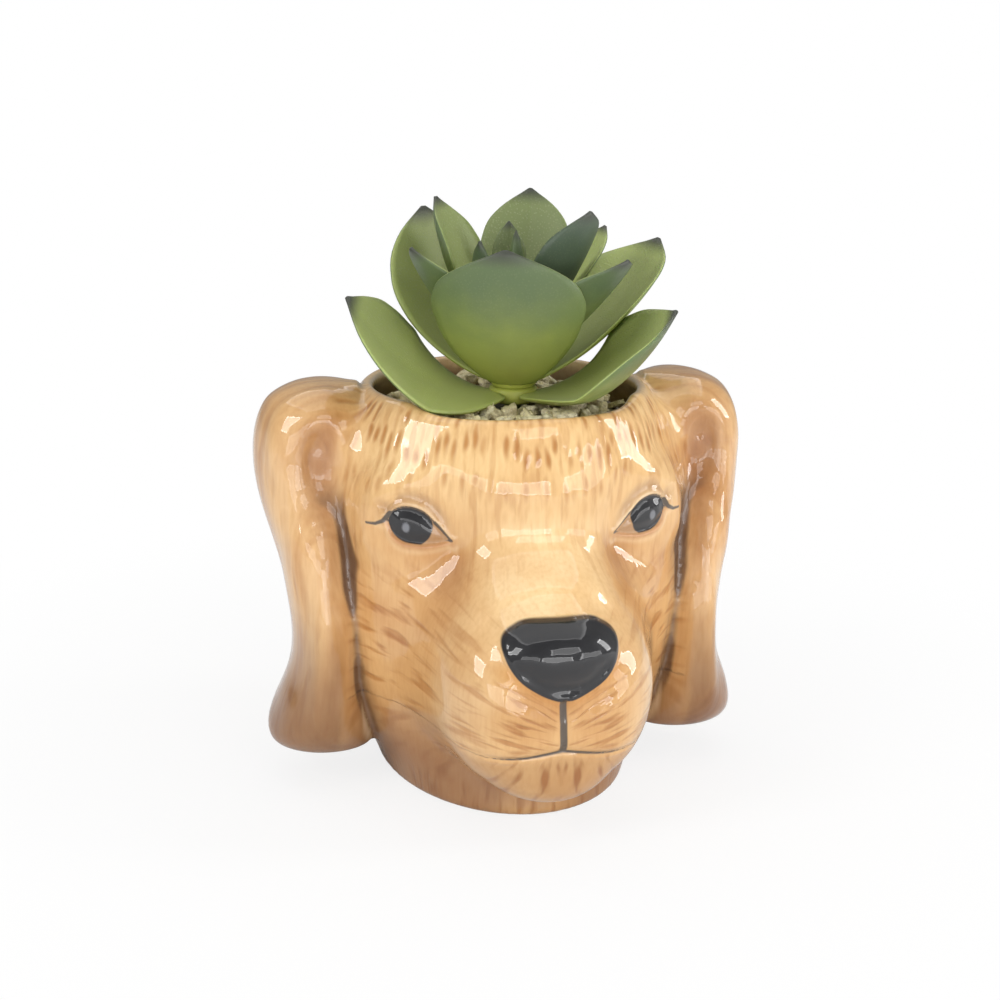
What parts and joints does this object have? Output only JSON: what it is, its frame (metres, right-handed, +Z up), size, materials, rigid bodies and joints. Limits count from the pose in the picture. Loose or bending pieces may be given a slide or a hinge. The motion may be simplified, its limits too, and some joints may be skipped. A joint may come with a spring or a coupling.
{
  "type": "animal head planter with artificial succulent",
  "caption": "Glazed ceramic dog-head planter with hanging ears, holding an artificial succulent rosette on a lift-out foam plug under loose bark chips.",
  "frame": {"origin": "centre of the flat base, on the surface that the planter stands on, below the centre of its round rim", "axes": "+Z up, the animal's face towards -Y, +X towards the ear on the viewer's right"},
  "size_m": [0.12, 0.1031, 0.1378],
  "materials": {
    "tan_glaze": "gloss",
    "foam": "matte",
    "leaf_plastic": "satin",
    "wire": "satin",
    "bark": "matte"
  },
  "bodies": {
    "pot": {"ceramic_pot": "tan_glaze"},
    "plant_insert": {"foam_plug": "foam", "stem": "leaf_plastic", "stem_wire": "wire", "outer_whorl": "leaf_plastic", "broad_whorl": "leaf_plastic", "inner_whorl": "leaf_plastic", "crown_whorl": "leaf_plastic", "heart_whorl": "leaf_plastic", "bud": "leaf_plastic", "bark_topping": "bark"}
  },
  "joints": [
    {"name": "insert_lift", "type": "slide", "parent": "pot", "child": "plant_insert", "axis": [0, 0, 1], "range_m": [0, 0.095]}
  ]
}
